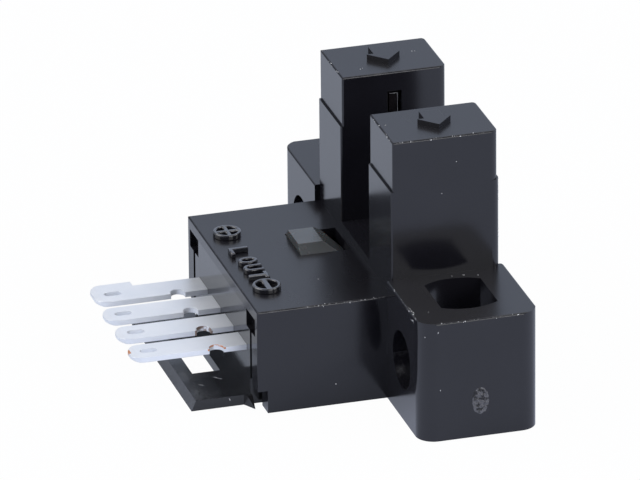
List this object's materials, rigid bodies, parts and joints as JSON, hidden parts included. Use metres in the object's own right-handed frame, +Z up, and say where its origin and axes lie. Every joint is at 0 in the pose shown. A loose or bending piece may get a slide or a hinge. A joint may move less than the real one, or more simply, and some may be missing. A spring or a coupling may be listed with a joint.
{
  "type": "slotted optical switch",
  "caption": "Fork-shaped optical switch with towers facing each other across a sensing slot, a mounting lug at each side, and a terminal box with flat plug-in terminals and a latch tongue.",
  "frame": {"origin": "middle of the base, midway between the two upright mounting holes, under the optical axis", "axes": "+X from the terminals towards the back of the towers, +Y across the slot from the receiver tower to the emitter tower, +Z up from the base to the tower tops"},
  "size_m": [0.0202, 0.026, 0.0151],
  "materials": {
    "case_plastic": "semi-gloss moulded black",
    "cover_plastic": "glossy moulded black",
    "guide_plastic": "smoke grey, translucent",
    "window_plastic": "dark red, passes infrared",
    "tinned_metal": "bright tin plate on copper alloy",
    "board_laminate": "green solder mask",
    "clear_resin": "clear moulded resin",
    "dark_resin": "moulded black resin",
    "chip_ceramic": "fired ceramic"
  },
  "bodies": {
    "root": {"case": "case_plastic", "base_cover": "cover_plastic", "light_guide": "guide_plastic", "emitter_window": "window_plastic", "receiver_window": "window_plastic", "supply_terminal": "tinned_metal", "mode_terminal": "tinned_metal", "output_terminal": "tinned_metal", "common_terminal": "tinned_metal", "circuit_board": "board_laminate", "infrared_emitter": "clear_resin", "emitter_leads": "tinned_metal", "photo_receiver": "dark_resin", "receiver_leads": "tinned_metal", "indicator_led": "clear_resin", "output_transistor": "dark_resin", "regulator_diode": "dark_resin", "emitter_resistor": "dark_resin", "indicator_resistor": "dark_resin", "bypass_capacitor": "chip_ceramic"}
  },
  "joints": []
}
